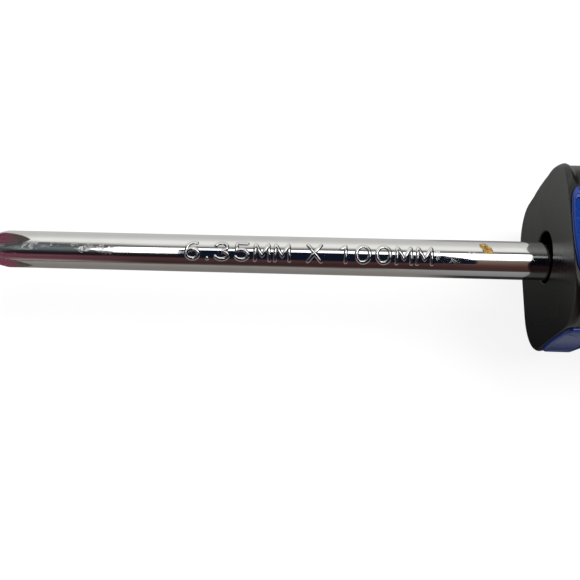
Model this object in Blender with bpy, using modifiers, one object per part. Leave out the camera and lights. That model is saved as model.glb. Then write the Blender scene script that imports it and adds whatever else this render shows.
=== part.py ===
"""Screwdriver with a no. 2 cross tip: a round chromed blade in a square, two-colour handle.

The blade lies along X with its tip towards -X, and the tool rests on the bottom flat of its handle,
on the plane Z = 0. Every piece is modelled around the blade's axis, with x = 0 at the handle's front
face, and hangs on an empty that puts the axis in its place. Metres throughout.
"""
import math

import bmesh
import bpy

MM = 0.001
GAP = 0.3 * MM                    # clearance between pieces that touch

# Blade: 1/4 inch round bar, 100 mm outside the handle
BLADE_RADIUS = 3.175 * MM
BLADE_EXPOSED = 100 * MM
TANG_LENGTH = 66 * MM
TANG_END_RADIUS = 2.4 * MM
TANG_CHAMFER = 1.5 * MM
BLADE_SIDES = 48

# Cross tip no. 2
NOSE_RADIUS = 1.145 * MM
NOSE_ANGLE = math.radians(28)     # the blunt end cone, from the plane across the tip
WING_ANGLE = math.radians(13.25)  # half the taper over the four wings
FLUTE_HALF_ANGLE = math.radians(46)
FLUTE_ROOT_AT_TIP = 0.345 * MM    # from the axis to the bottom of a flute
FLUTE_ROOT_ANGLE = math.radians(5.75)
FLUTE_STRAIGHT = 8.6 * MM
FLUTE_RUNOUT_RADIUS = 12.8 * MM   # of the milling cutter
FLUTE_TURN = math.radians(-11)    # of the four flutes about the axis, from straight up
FLUTE_REACH = 6 * MM

# Pressed ears that hold the tang
EAR_LENGTH = 9 * MM
EAR_THICKNESS = 1.6 * MM
EAR_REACH = 4.5 * MM
EAR_SLOPE = 1.6 * MM
EAR_PLACES = ((34 * MM, 0.0), (48 * MM, math.pi / 2))

# Handle
HANDLE_LENGTH = 108 * MM
FLAT_APOTHEM = 13.25 * MM         # axis to a black flat, at the flange and at the palm
INLAY_PROUD = 0.6 * MM
WAIST_DROP = 2.25 * MM
FLANGE_END = 4.4 * MM
WAIST_AT = 14 * MM
PALM_START = 46 * MM
PALM_END = 88 * MM
END_RADIUS = 7 * MM               # flat circle at the very rear
END_POWER = 2.4                   # of the curve that rounds the rear
FLANGE_ROUNDNESS = 0.433          # corner radius as a share of the apothem
PALM_ROUNDNESS = 0.53
END_ROUNDNESS = 0.98
ROUNDNESS_SETTLES = 30 * MM
LIP_LENGTH = 1.4 * MM             # the lobes stand out a little at the front
LIP_STEP = 0.4 * MM
LIP_CORNER = 0.85 * MM
NOSE_FILLET = 2 * MM
NOSE_FILLET_CORNER = 2.9 * MM
CORNER_STEPS = 8

# Ring recess around the blade, and the square socket inside the handle
RECESS_RADIUS = 4.3 * MM
RECESS_OFFSET = 0.7 * MM          # of its middle from the blade's axis, towards +Y
RECESS_DEPTH = 2.5 * MM
RECESS_SIDES = 42
SOCKET_START = 8 * MM
CARRIER_APOTHEM = 5.9 * MM
CARRIER_CORNER = 1.5 * MM
CARRIER_END = 78 * MM
BODY_END = 98 * MM
SPIGOT_LENGTH = 15 * MM

# Side inlays
INLAY_START = 0.7 * MM
INLAY_END = 92 * MM
INLAY_THICKNESS = 1.5 * MM
INLAY_EDGE = 0.45 * MM
INLAY_OVERHANG = 0.35 * MM        # of each long side past the flat, over the round lobe
INLAY_FRONT_CORNER = 0.8 * MM
INLAY_REAR_CORNER = 4 * MM
PEG_RADIUS = 1.5 * MM
PEG_LENGTH = 1.5 * MM
PEG_PLACES = (52 * MM, 82 * MM)
PEG_SIDES = 16

# End disc
DISC_RADIUS = 5 * MM
DISC_THICKNESS = 0.9 * MM
DISC_SIDES = 40
CROSS_HEIGHT = 0.3 * MM
CROSS_REACH = 3.4 * MM
CROSS_WIDTH = 1.7 * MM

OVERSHOOT = 1 * MM                # how far a cutter runs past a face

AXIS_HEIGHT = FLAT_APOTHEM + INLAY_PROUD
FACE_X = (BLADE_EXPOSED - HANDLE_LENGTH) / 2

COLOURS = {
    "chrome": ((0.60, 0.60, 0.61), 0.10, 1.0),
    "black": ((0.016, 0.016, 0.015), 0.25, 0.0),
    "blue": ((0.006, 0.035, 0.22), 0.12, 0.0),
    "nylon": ((0.03, 0.03, 0.03), 0.5, 0.0),
}


def clear_scene():
    for item in list(bpy.data.objects):
        bpy.data.objects.remove(item)


def new_collection(name):
    group = bpy.data.collections.new(name)
    bpy.context.scene.collection.children.link(group)
    return group


def material(name):
    colour, roughness, metallic = COLOURS[name]
    finish = bpy.data.materials.get(name) or bpy.data.materials.new(name)
    finish.use_nodes = True
    shader = finish.node_tree.nodes["Principled BSDF"]
    shader.inputs["Base Color"].default_value = (*colour, 1)
    shader.inputs["Roughness"].default_value = roughness
    shader.inputs["Metallic"].default_value = metallic
    return finish


def place(name, mesh, group, finish=None, turn=0.0):
    """Put a mesh on the tool's axis, turned about it."""
    item = bpy.data.objects.new(name, mesh)
    group.objects.link(item)
    item.parent = bpy.data.objects["tool_axis"]
    item.rotation_euler.x = turn
    if finish:
        if not mesh.materials:
            mesh.materials.append(material(finish))
    else:
        item.hide_render = True
        item.display_type = "WIRE"
    return item


def mesh_from(shape, name):
    bmesh.ops.recalc_face_normals(shape, faces=shape.faces)
    mesh = bpy.data.meshes.new(name)
    shape.to_mesh(mesh)
    shape.free()
    return mesh


def boolean(target, tool, operation="DIFFERENCE"):
    step = target.modifiers.new(tool.name, "BOOLEAN")
    step.operation = operation
    step.solver = "EXACT"
    step.object = tool


def loft(name, rings):
    """Skin a row of rings that have equally many points, and close both ends."""
    shape = bmesh.new()
    loops = [[shape.verts.new(point) for point in ring] for ring in rings]
    for near, far in zip(loops, loops[1:]):
        for index, corner in enumerate(near):
            after = (index + 1) % len(near)
            shape.faces.new((corner, near[after], far[after], far[index]))
    shape.faces.new(loops[0])
    shape.faces.new(loops[-1])
    return mesh_from(shape, name)


def turned(name, group, profile, sides, finish=None):
    """Turn a profile of (radius, x) pairs, given from the rear to the front, about the axis."""
    mesh = bpy.data.meshes.new(name)
    points = [(radius, 0, x) for radius, x in profile]
    mesh.from_pydata(points, [(index, index + 1) for index in range(len(points) - 1)], [])
    item = place(name, mesh, group, finish)
    item.rotation_euler = (0, math.pi / 2, 0)
    screw = item.modifiers.new("turned", "SCREW")
    screw.axis = "Z"
    screw.steps = sides
    screw.render_steps = sides
    screw.use_merge_vertices = True
    screw.merge_threshold = 0.00001
    return item


def cylinder(name, group, radius, start, end, sides, finish=None):
    profile = ((0, end), (radius, end), (radius, start), (0, start))
    return turned(name, group, profile, sides, finish)


def smooth(share):
    """Ease from 0 to 1 with level ends."""
    share = min(max(share, 0.0), 1.0)
    return share * share * (3 - 2 * share)


def apothem(x):
    """Axis to the black flat, x behind the front face."""
    if x <= FLANGE_END:
        return FLAT_APOTHEM
    if x <= WAIST_AT:
        quarter = (x - FLANGE_END) / (WAIST_AT - FLANGE_END) * math.pi / 2
        return FLAT_APOTHEM - WAIST_DROP * math.sin(quarter)
    if x <= PALM_END:
        return FLAT_APOTHEM - WAIST_DROP * (1 - smooth((x - WAIST_AT) / (PALM_START - WAIST_AT)))
    share = min((x - PALM_END) / (HANDLE_LENGTH - PALM_END), 1.0)
    bulge = (1 - share ** END_POWER) ** (1 / END_POWER)
    return END_RADIUS + (FLAT_APOTHEM - END_RADIUS) * bulge


def plain_corner(x):
    """Corner radius of the handle's section, before the lip and the front fillet."""
    settled = smooth((x - FLANGE_END) / (ROUNDNESS_SETTLES - FLANGE_END))
    roundness = FLANGE_ROUNDNESS + (PALM_ROUNDNESS - FLANGE_ROUNDNESS) * settled
    if x > PALM_END:
        tail = (x - PALM_END) / (HANDLE_LENGTH - PALM_END)
        roundness += (END_ROUNDNESS - PALM_ROUNDNESS) * tail ** 2
    return roundness * apothem(x)


def corner_radius(x):
    radius = plain_corner(x) - LIP_CORNER * (1 - smooth((x - LIP_LENGTH) / LIP_STEP))
    if x < NOSE_FILLET:
        inward = 1 - x / NOSE_FILLET
        radius += NOSE_FILLET_CORNER * (1 - math.sqrt(1 - inward * inward))
    return radius


def square_ring(x, half, corner):
    """A square with round corners, across the axis at x."""
    ring = []
    for quarter in range(4):
        middle = math.radians(90 * quarter + 45)
        side_y = math.copysign(half - corner, math.cos(middle))
        side_z = math.copysign(half - corner, math.sin(middle))
        for step in range(CORNER_STEPS + 1):
            angle = math.radians(90 * (quarter + step / CORNER_STEPS))
            ring.append((x, side_y + corner * math.cos(angle), side_z + corner * math.sin(angle)))
    return ring


def between(start, end, count):
    """Evenly spaced places, without the start."""
    return [start + (end - start) * step / count for step in range(1, count + 1)]


def handle_places():
    """Where the handle's sections lie, from the front face to the rear."""
    front = [0, 0.25 * MM, 0.7 * MM, LIP_LENGTH, LIP_LENGTH + LIP_STEP, FLANGE_END]
    neck = between(FLANGE_END, WAIST_AT, 5)
    swell = between(WAIST_AT, PALM_START, 9)
    tail_arc = [math.sin(step * math.pi / 2 / 9) for step in range(1, 10)]
    tail = [PALM_END + (HANDLE_LENGTH - PALM_END) * share for share in tail_arc]
    return front + neck + swell + [PALM_END] + tail


def handle_mesh(name, start, end):
    places = [start] + [x for x in handle_places() if start < x < end] + [end]
    return loft(name, [square_ring(x, apothem(x), corner_radius(x)) for x in places])


def square_bar(name, half, corner, start, end):
    return loft(name, [square_ring(x, half, corner) for x in (start, end)])


def inlay_half_width(x, start, end, clearance):
    """Half width of an inlay, with round corners at both its ends."""
    half = apothem(x) - plain_corner(x) + INLAY_OVERHANG + clearance
    for radius, inside in ((INLAY_FRONT_CORNER, x - start), (INLAY_REAR_CORNER, end - x)):
        if inside < radius:
            half -= radius - math.sqrt(radius * radius - (radius - inside) ** 2)
    return half


def inlay_mesh(name, clearance, rise):
    """An inlay on the top flat, or its pocket where clearance and rise are given."""
    start = INLAY_START - clearance
    end = INLAY_END + clearance
    front_arc = between(start, start + INLAY_FRONT_CORNER, 4)
    rear_arc = between(end - INLAY_REAR_CORNER, end, 5)
    middle = [x for x in handle_places() if front_arc[-1] < x < end - INLAY_REAR_CORNER]
    rings = []
    for x in [start] + front_arc + middle + [end - INLAY_REAR_CORNER] + rear_arc:
        half = inlay_half_width(x, start, end, clearance)
        low = apothem(x) - INLAY_THICKNESS - clearance
        high = apothem(x) + INLAY_PROUD + rise
        edge = INLAY_EDGE
        rings.append([(x, -half, low), (x, half, low), (x, half, high - edge),
                      (x, half - edge, high), (x, edge - half, high), (x, -half, high - edge)])
    return loft(name, rings)


def peg(name, group, x, clearance):
    shape = bmesh.new()
    bmesh.ops.create_cone(shape, cap_ends=True, segments=PEG_SIDES, radius1=PEG_RADIUS + clearance,
                          radius2=PEG_RADIUS + clearance, depth=2 * (PEG_LENGTH + clearance))
    foot = FLAT_APOTHEM - INLAY_THICKNESS - clearance
    bmesh.ops.translate(shape, vec=(x, 0, foot), verts=shape.verts)
    return place(name, mesh_from(shape, name), group)


def evaluated_mesh(item, name):
    graph = bpy.context.evaluated_depsgraph_get()
    return bpy.data.meshes.new_from_object(item.evaluated_get(graph))


def inlay_with_pegs(name, group, clearance, rise):
    """The mesh of an inlay and its pegs, or of the pocket and its sockets."""
    blank = place(name + "_blank", inlay_mesh(name, clearance, rise), group)
    for number, x in enumerate(PEG_PLACES, 1):
        boolean(blank, peg(f"{name}_peg_{number}", group, x, clearance), "UNION")
    return evaluated_mesh(blank, name)


def flute_mesh():
    """The V-shaped path of the milling cutter: a straight, sloping root and a round run-out."""
    places = [(-OVERSHOOT, FLUTE_ROOT_AT_TIP - OVERSHOOT * math.tan(FLUTE_ROOT_ANGLE))]
    root = FLUTE_ROOT_AT_TIP + FLUTE_STRAIGHT * math.tan(FLUTE_ROOT_ANGLE)
    steps = 9
    for step in range(steps + 1):
        slope = FLUTE_ROOT_ANGLE + (math.radians(37) - FLUTE_ROOT_ANGLE) * step / steps
        along = FLUTE_RUNOUT_RADIUS * (math.sin(slope) - math.sin(FLUTE_ROOT_ANGLE))
        rise = FLUTE_RUNOUT_RADIUS * (math.cos(FLUTE_ROOT_ANGLE) - math.cos(slope))
        places.append((FLUTE_STRAIGHT + along, root + rise))
    rings = []
    for along, depth in places:
        x = along - BLADE_EXPOSED
        half = (FLUTE_REACH - depth) * math.tan(FLUTE_HALF_ANGLE)
        rings.append([(x, 0, depth), (x, half, FLUTE_REACH), (x, -half, FLUTE_REACH)])
    return loft("flute", rings)


def ear_mesh(clearance):
    """A pair of pressed ears: a flat six-sided plate through the tang."""
    length = EAR_LENGTH + 2 * clearance
    reach = EAR_REACH + clearance
    half = EAR_THICKNESS / 2 + clearance
    outline = ((0, 0), (EAR_SLOPE, reach), (length - EAR_SLOPE, reach),
               (length, 0), (length - EAR_SLOPE, -reach), (EAR_SLOPE, -reach))
    rings = [[(x - clearance, side, z) for x, z in outline] for side in (-half, half)]
    return loft("ear", rings)


def make_blade(parts, cutters):
    shoulder = NOSE_RADIUS * math.tan(NOSE_ANGLE)
    taper_end = shoulder + (BLADE_RADIUS - NOSE_RADIUS) / math.tan(WING_ANGLE)
    profile = ((0, TANG_LENGTH), (TANG_END_RADIUS, TANG_LENGTH),
               (BLADE_RADIUS, TANG_LENGTH - TANG_CHAMFER), (BLADE_RADIUS, taper_end - BLADE_EXPOSED),
               (NOSE_RADIUS, shoulder - BLADE_EXPOSED), (0, -BLADE_EXPOSED))
    blade = turned("blade", parts, profile, BLADE_SIDES, "chrome")
    for number, (x, turn) in enumerate(EAR_PLACES, 1):
        ear = place(f"ear_{number}", ear_mesh(0), cutters, turn=turn)
        ear.location.x = x
        boolean(blade, ear, "UNION")
    flute = flute_mesh()
    for quarter in range(4):
        turn = FLUTE_TURN + quarter * math.pi / 2
        boolean(blade, place(f"flute_{quarter + 1}", flute, cutters, turn=turn))


def make_tang_carrier(parts, cutters):
    bar = square_bar("tang_carrier", CARRIER_APOTHEM, CARRIER_CORNER, SOCKET_START + GAP, CARRIER_END)
    carrier = place("tang_carrier", bar, parts, "nylon")
    bore = cylinder("tang_bore", cutters, BLADE_RADIUS + GAP, 0, TANG_LENGTH + GAP, BLADE_SIDES)
    boolean(carrier, bore)
    for number, (x, turn) in enumerate(EAR_PLACES, 1):
        slot = place(f"ear_slot_{number}", ear_mesh(GAP), cutters, turn=turn)
        slot.location.x = x
        boolean(carrier, slot)


def make_handle_body(parts, cutters):
    body = place("handle_body", handle_mesh("handle_body", 0, BODY_END), parts, "black")
    chamfer = GAP
    profile = ((0, RECESS_DEPTH), (RECESS_RADIUS, RECESS_DEPTH), (RECESS_RADIUS, chamfer),
               (RECESS_RADIUS + chamfer, 0), (RECESS_RADIUS + chamfer, -OVERSHOOT), (0, -OVERSHOOT))
    recess = turned("recess", cutters, profile, RECESS_SIDES)
    recess.location.y = RECESS_OFFSET
    boolean(body, recess)
    boolean(body, cylinder("blade_bore", cutters, BLADE_RADIUS + GAP, RECESS_DEPTH - OVERSHOOT,
                           SOCKET_START + OVERSHOOT, BLADE_SIDES))
    socket = square_bar("socket", CARRIER_APOTHEM + GAP, CARRIER_CORNER + GAP,
                        SOCKET_START, BODY_END + OVERSHOOT)
    boolean(body, place("socket", socket, cutters))
    pocket = inlay_with_pegs("pocket", cutters, GAP, OVERSHOOT)
    for quarter in range(4):
        turn = quarter * math.pi / 2
        boolean(body, place(f"pocket_{quarter + 1}", pocket, cutters, turn=turn))


def make_inlays(parts, cutters):
    mesh = inlay_with_pegs("inlay", cutters, 0, 0)
    for quarter, side in enumerate(("top", "left", "bottom", "right")):
        place(f"inlay_{side}", mesh, parts, "blue", quarter * math.pi / 2)


def make_end_cap(parts, cutters):
    start = BODY_END + GAP
    cap = place("end_cap", handle_mesh("end_cap", start, HANDLE_LENGTH), parts, "blue")
    spigot = square_bar("spigot", CARRIER_APOTHEM, CARRIER_CORNER, start - SPIGOT_LENGTH,
                        start + OVERSHOOT)
    boolean(cap, place("spigot", spigot, cutters), "UNION")
    floor = HANDLE_LENGTH - CROSS_HEIGHT - DISC_THICKNESS - GAP
    boolean(cap, cylinder("disc_pocket", cutters, DISC_RADIUS + GAP, floor,
                          HANDLE_LENGTH + OVERSHOOT, DISC_SIDES))


def make_end_disc(parts, cutters):
    top = HANDLE_LENGTH - CROSS_HEIGHT
    disc = cylinder("end_disc", parts, DISC_RADIUS, top - DISC_THICKNESS, top, DISC_SIDES, "black")
    for number, turn in enumerate((0, math.pi / 2), 1):
        shape = bmesh.new()
        bmesh.ops.create_cube(shape, size=1)
        height = CROSS_HEIGHT + DISC_THICKNESS / 2
        bmesh.ops.scale(shape, vec=(height, CROSS_WIDTH, 2 * CROSS_REACH), verts=shape.verts)
        middle = HANDLE_LENGTH - height / 2
        bmesh.ops.translate(shape, vec=(middle, 0, 0), verts=shape.verts)
        bar = place(f"cross_bar_{number}", mesh_from(shape, "cross_bar"), cutters, turn=turn)
        boolean(disc, bar, "UNION")


def main():
    clear_scene()
    parts = new_collection("screwdriver")
    cutters = new_collection("screwdriver_cutters")
    axis = bpy.data.objects.new("tool_axis", None)
    axis.location = (FACE_X, 0, AXIS_HEIGHT)
    parts.objects.link(axis)
    make_blade(parts, cutters)
    make_tang_carrier(parts, cutters)
    make_handle_body(parts, cutters)
    make_inlays(parts, cutters)
    make_end_cap(parts, cutters)
    make_end_disc(parts, cutters)


main()
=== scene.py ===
"""Looks of the screwdriver: chromed blade with a cross tip, square black and blue handle.

The blade's axis is the x axis of every shape made here, with x = 0 at the handle's front face and
+z up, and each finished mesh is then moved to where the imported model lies. Metres throughout.
"""

import math

import bmesh
import bpy
from mathutils import Matrix, Vector


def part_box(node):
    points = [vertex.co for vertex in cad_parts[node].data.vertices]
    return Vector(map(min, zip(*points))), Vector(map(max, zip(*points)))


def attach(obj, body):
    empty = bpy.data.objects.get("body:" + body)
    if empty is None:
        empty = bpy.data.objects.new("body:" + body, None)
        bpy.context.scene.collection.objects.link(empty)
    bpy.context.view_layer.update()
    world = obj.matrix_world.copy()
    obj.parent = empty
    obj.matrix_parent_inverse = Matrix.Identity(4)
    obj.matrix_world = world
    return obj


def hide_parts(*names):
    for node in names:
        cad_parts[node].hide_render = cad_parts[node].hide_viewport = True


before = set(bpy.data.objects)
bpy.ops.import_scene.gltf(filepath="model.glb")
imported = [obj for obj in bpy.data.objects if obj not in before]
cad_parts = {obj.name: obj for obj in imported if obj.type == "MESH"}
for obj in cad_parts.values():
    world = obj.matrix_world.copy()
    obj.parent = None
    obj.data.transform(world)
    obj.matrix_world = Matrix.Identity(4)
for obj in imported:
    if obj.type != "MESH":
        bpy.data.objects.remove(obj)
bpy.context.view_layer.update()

MM = 0.001
TURN = 2 * math.pi

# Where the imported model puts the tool
BODY_LOW, BODY_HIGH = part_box("handle_body")
FACE_X = BODY_LOW.x
AXIS_Z = (BODY_LOW.z + BODY_HIGH.z) / 2
BLADE_EXPOSED = FACE_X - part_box("blade")[0].x
TANG_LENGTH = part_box("blade")[1].x - FACE_X
HANDLE_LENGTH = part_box("end_cap")[1].x - FACE_X
BODY_LENGTH = BODY_HIGH.x - BODY_LOW.x
TOOL = Matrix.Translation((FACE_X, 0, AXIS_Z))
SEAM = 0.05 * MM                      # the fine line between two mouldings

# Blade and cross tip no. 2
BLADE_RADIUS = 3.175 * MM
BLADE_SEGMENTS = 144
NOSE_RADIUS = 1.145 * MM
NOSE_ANGLE = math.radians(28)
WING_ANGLE = math.radians(13.25)
FLUTE_HALF_ANGLE = math.radians(46)
FLUTE_ROOT_AT_TIP = 0.345 * MM
FLUTE_ROOT_ANGLE = math.radians(5.75)
FLUTE_STRAIGHT = 8.6 * MM
FLUTE_RUNOUT_RADIUS = 12.8 * MM       # of the milling cutter
FLUTE_RUNOUT_ANGLE = math.radians(37)
FLUTE_RUNOUT_STEPS = 28
FLUTE_TURN = math.radians(-11)
FLUTE_REACH = 6 * MM
TIP_WEAR = 0.06 * MM                  # how far the edges of the tip are rounded
TANG_CHAMFER = 1.5 * MM
TANG_END_RADIUS = 2.4 * MM
EAR_LENGTH = 9 * MM
EAR_THICKNESS = 1.6 * MM
EAR_REACH = 4.5 * MM
EAR_SLOPE = 1.6 * MM
EAR_PLACES = ((38.5 * MM, 0.0), (52.5 * MM, math.pi / 2))

# Raised size mark on the shaft
MARK_TEXT = "6.35MM X 100MM"
MARK_START = -59.9 * MM
MARK_END = -18.4 * MM
MARK_HEIGHT = 2.8 * MM
MARK_ANGLE = math.radians(12.5)       # of its middle line, from straight up towards -Y
MARK_STROKE = 0.42 * MM               # radius of the bead, most of it sunk in the shaft
MARK_SUNK = 0.25 * MM
MARK_STEP = 0.28 * MM                 # between the rings of a bead
BEAD_SIDES = 12

# Handle
FLAT_APOTHEM = 13.25 * MM
INLAY_PROUD = 0.6 * MM
WAIST_DROP = 2.25 * MM
FLANGE_END = 5.05 * MM
WAIST_AT = 14 * MM
PALM_START = 46 * MM
PALM_END = 88 * MM
END_RADIUS = 7 * MM
END_POWER = 2.4
FLANGE_ROUNDNESS = 0.487
PALM_ROUNDNESS = 0.53
END_ROUNDNESS = 0.98
ROUNDNESS_SETTLES = 30 * MM
LIP_LENGTH = 0.7 * MM
LIP_STEP = 1.1 * MM
LIP_CORNER = 1.57 * MM
BEND_HALF = 0.15 * MM                 # the flange's rear edge is this far to each side of its line
NOSE_FILLET = 2 * MM
NOSE_FILLET_CORNER = 2.9 * MM
EDGE_BREAK = 0.12 * MM
GROOVE_FIRST = 21 * MM
GROOVE_PITCH = 3 * MM
GROOVE_COUNT = 7
GROOVE_WIDTH = 1.4 * MM
GROOVE_CORNER = 0.9 * MM
CORNER_STEPS = 20
FLAT_STEPS = 6

RECESS_RADIUS = 4.3 * MM
RECESS_CHAMFER = 0.3 * MM
RECESS_OFFSET = 0.7 * MM              # of its middle from the blade's axis, towards +Y
RECESS_DEPTH = 2.5 * MM
BORE_RADIUS = 3.35 * MM
SOCKET_START = 8 * MM
SOCKET_APOTHEM = 6.2 * MM
SOCKET_CORNER = 1.8 * MM
SPIGOT_APOTHEM = 5.9 * MM
SPIGOT_LENGTH = 15 * MM

INLAY_START = 0.12 * MM
INLAY_END = 92 * MM
INLAY_THICKNESS = 1.5 * MM
INLAY_OVERHANG = 0.2 * MM
INLAY_FRONT_CORNER = 0.9 * MM         # along the tool, and across it
INLAY_FRONT_CORNER_SIDE = 1.9 * MM
INLAY_REAR_CORNER = 4 * MM
INLAY_BOW = 0.38 * MM                 # the front edge is a shallow arc: its rise
INLAY_BOW_HALF = 6.5 * MM             # half the arc's width
INLAY_BOW_FADES = 3 * MM
INLAY_CUTS = (-3, -2.4, -1.6, -0.8, 0, 0.8, 1.6, 2.4, 3)    # lines along it before it is widened, mm
INLAY_RIM = 0.4 * MM                  # width of its rounded rim at the front
RIM_WIDEN = 3.4                       # times wider along the sides
FIELD_STEP = 0.05 * MM                # the field lies a little lower than its rim
FIELD_STEP_WIDTH = 0.12 * MM
STEP_LEAD = 0.02 * MM                 # flat strip at each side of that step

DISC_RADIUS = 5.15 * MM
DISC_THICKNESS = 0.9 * MM
DISC_RIM = 0.25 * MM
CROSS_HEIGHT = 0.3 * MM
CROSS_REACH = 3.4 * MM
CROSS_WIDTH = 1.7 * MM

# Camera: its direction and distance from a point on the shaft
AIM_X = -42.17 * MM
VIEW_ELEVATION = math.radians(72.22)
VIEW_YAW = math.radians(3.17)
VIEW_ROLL = math.radians(1.5)
VIEW_DISTANCE = 116.5 * MM
VIEW_BELOW = 5.845 * MM               # the camera's axis passes this far below the shaft
FOCAL_LENGTH = 42.83


# ---------------------------------------------------------------- shapes

def smooth(share):
    share = min(max(share, 0.0), 1.0)
    return share * share * (3 - 2 * share)


def between(start, end, count):
    """Evenly spaced places, without the start."""
    return [start + (end - start) * step / count for step in range(1, count + 1)]


def apothem(x):
    """Axis to the black flat, x behind the front face."""
    if x <= FLANGE_END:
        inward = max(1 - x / EDGE_BREAK, 0)
        return FLAT_APOTHEM - EDGE_BREAK * (1 - math.sqrt(1 - inward * inward))
    if x <= WAIST_AT:
        quarter = (x - FLANGE_END) / (WAIST_AT - FLANGE_END) * math.pi / 2
        return FLAT_APOTHEM - WAIST_DROP * math.sin(quarter)
    if x <= PALM_END:
        return FLAT_APOTHEM - WAIST_DROP * (1 - smooth((x - WAIST_AT) / (PALM_START - WAIST_AT)))
    share = min((x - PALM_END) / (HANDLE_LENGTH - PALM_END), 1.0)
    bulge = (1 - share ** END_POWER) ** (1 / END_POWER)
    return END_RADIUS + (FLAT_APOTHEM - END_RADIUS) * bulge


def plain_corner(x):
    """Corner radius of the handle's section, before the lip, the front fillet and the grooves."""
    settled = smooth((x - FLANGE_END) / (ROUNDNESS_SETTLES - FLANGE_END))
    roundness = FLANGE_ROUNDNESS + (PALM_ROUNDNESS - FLANGE_ROUNDNESS) * settled
    if x > PALM_END:
        tail = (x - PALM_END) / (HANDLE_LENGTH - PALM_END)
        roundness += (END_ROUNDNESS - PALM_ROUNDNESS) * tail ** 2
    return roundness * apothem(x)


def groove_depth(x):
    """Share of a finger groove's full depth: the grooves cross only the round corners."""
    number = round((x - GROOVE_FIRST) / GROOVE_PITCH)
    if not 0 <= number < GROOVE_COUNT:
        return 0.0
    away = abs(x - GROOVE_FIRST - number * GROOVE_PITCH) / (GROOVE_WIDTH / 2)
    return (1 + math.cos(math.pi * away)) / 2 if away < 1 else 0.0


def corner_radius(x):
    radius = plain_corner(x) - LIP_CORNER * (1 - smooth((x - LIP_LENGTH) / LIP_STEP))
    if x < NOSE_FILLET:
        inward = 1 - x / NOSE_FILLET
        radius += NOSE_FILLET_CORNER * (1 - math.sqrt(1 - inward * inward))
    return radius + GROOVE_CORNER * groove_depth(x)


def square_section(x, half, corner):
    """Points of a square with round corners, across the axis at x."""
    points = []
    flat = half - corner
    for quarter in range(4):
        turn = Matrix.Rotation(quarter * math.pi / 2, 4, "X")
        for step in range(CORNER_STEPS + 1):
            angle = math.pi / 2 * step / CORNER_STEPS
            points.append(turn @ Vector((x, flat + corner * math.cos(angle),
                                         flat + corner * math.sin(angle))))
        for step in range(1, FLAT_STEPS):
            points.append(turn @ Vector((x, flat - 2 * flat * step / FLAT_STEPS, half)))
    return points


def extrude_ring(shape, ring):
    """Extrude a closed ring of vertices and give the new ring in the same order."""
    edges = [a.link_edges[:] for a in ring]
    loop = set()
    for index, corner in enumerate(ring):
        after = ring[(index + 1) % len(ring)]
        loop.update(edge for edge in edges[index] if edge.other_vert(corner) is after)
    made = bmesh.ops.extrude_edge_only(shape, edges=list(loop))
    fresh = {item for item in made["geom"] if isinstance(item, bmesh.types.BMVert)}
    follow = {}
    for corner in ring:
        follow[corner] = next(edge.other_vert(corner) for edge in corner.link_edges
                              if edge.other_vert(corner) in fresh)
    return [follow[corner] for corner in ring]


def swept(sections, closed=True):
    """A skin extruded through sections that have equally many points."""
    shape = bmesh.new()
    ring = bmesh.ops.create_circle(shape, segments=len(sections[0]), radius=1)["verts"]
    for number, section in enumerate(sections):
        if number:
            ring = extrude_ring(shape, ring)
        for corner, point in zip(ring, section):
            corner.co = point
    if closed:
        bmesh.ops.holes_fill(shape, edges=[edge for edge in shape.edges if edge.is_boundary])
    bmesh.ops.recalc_face_normals(shape, faces=shape.faces)
    return shape


def turned(profile, segments):
    """A closed solid spun from a profile of (x, radius) pairs that starts and ends on the axis."""
    shape = bmesh.new()
    corners = [shape.verts.new((x, 0, radius)) for x, radius in profile]
    edges = [shape.edges.new(pair) for pair in zip(corners, corners[1:])]
    bmesh.ops.spin(shape, geom=corners + edges, cent=(0, 0, 0), axis=(1, 0, 0), angle=TURN,
                   steps=segments, use_merge=True)
    bmesh.ops.remove_doubles(shape, verts=shape.verts, dist=0.000001)
    bmesh.ops.recalc_face_normals(shape, faces=shape.faces)
    return shape


def mesh_of(shape, name, turn=0.0):
    """The finished mesh, turned about the axis and put where the tool lies."""
    mesh = bpy.data.meshes.new(name)
    shape.transform(TOOL @ Matrix.Rotation(turn, 4, "X"))
    shape.to_mesh(mesh)
    shape.free()
    return mesh


def add(name, data):
    """A new object in the scene, made of a mesh, a lamp or a camera."""
    item = bpy.data.objects.new(name, data)
    bpy.context.scene.collection.objects.link(item)
    return item


def loose(shape, name, turn=0.0):
    """A helper object that another piece is cut by or joined to."""
    return add(name, mesh_of(shape, name, turn))


def carve(item, tools, operation="DIFFERENCE"):
    """Cut the tools out of a mesh object, or join them to it, for good."""
    for tool in tools:
        step = item.modifiers.new("carve", "BOOLEAN")
        step.operation = operation
        step.solver = "EXACT"
        step.object = tool
    graph = bpy.context.evaluated_depsgraph_get()
    carved = bpy.data.meshes.new_from_object(item.evaluated_get(graph))
    item.modifiers.clear()
    item.data = carved
    for tool in tools:
        bpy.data.objects.remove(tool)


def finish_piece(item, finish, slot, *nodes, sharp=32):
    """Shade and paint a piece, and let it ride on the tool."""
    item.data.materials.clear()
    item.data.materials.append(finish)
    for face in item.data.polygons:
        face.material_index = 0
        face.use_smooth = True
    item.data.set_sharp_from_angle(angle=math.radians(sharp))
    even = item.modifiers.new("even_shading", "WEIGHTED_NORMAL")
    even.keep_sharp = True
    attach(item, "root")
    if nodes:
        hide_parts(*nodes)
    return item


# ---------------------------------------------------------------- blade

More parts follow.
